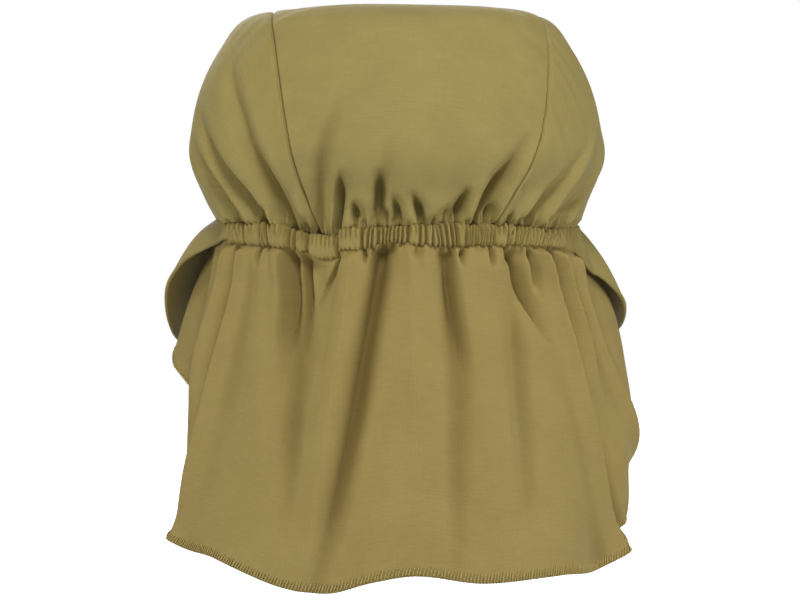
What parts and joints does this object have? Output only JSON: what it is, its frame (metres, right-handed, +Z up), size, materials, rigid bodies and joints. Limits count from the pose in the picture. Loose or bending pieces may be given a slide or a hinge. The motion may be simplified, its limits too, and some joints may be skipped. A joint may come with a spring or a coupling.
{
  "type": "neck flap cap",
  "caption": "Child's cloth sun cap with a panelled crown, an elastic casing gathered round the nape, a soft peak round the face and a hanging neck flap.",
  "frame": {"origin": "middle of the head opening, in the plane of the crown's rim", "axes": "+Z up out of the top of the crown, -Y the way the face looks, +Y to the nape, +X to the wearer's left"},
  "size_m": [0.2033, 0.2292, 0.2362],
  "materials": {
    "cloth": "matt olive plain weave with a faint sheen",
    "gathered_cloth": "the same olive cloth, gathered by elastic"
  },
  "bodies": {
    "root": {"crown_centre_panel": "cloth", "crown_side_left": "cloth", "crown_side_right": "cloth", "nape_casing": "gathered_cloth", "peak": "cloth", "neck_flap": "cloth"}
  },
  "joints": []
}
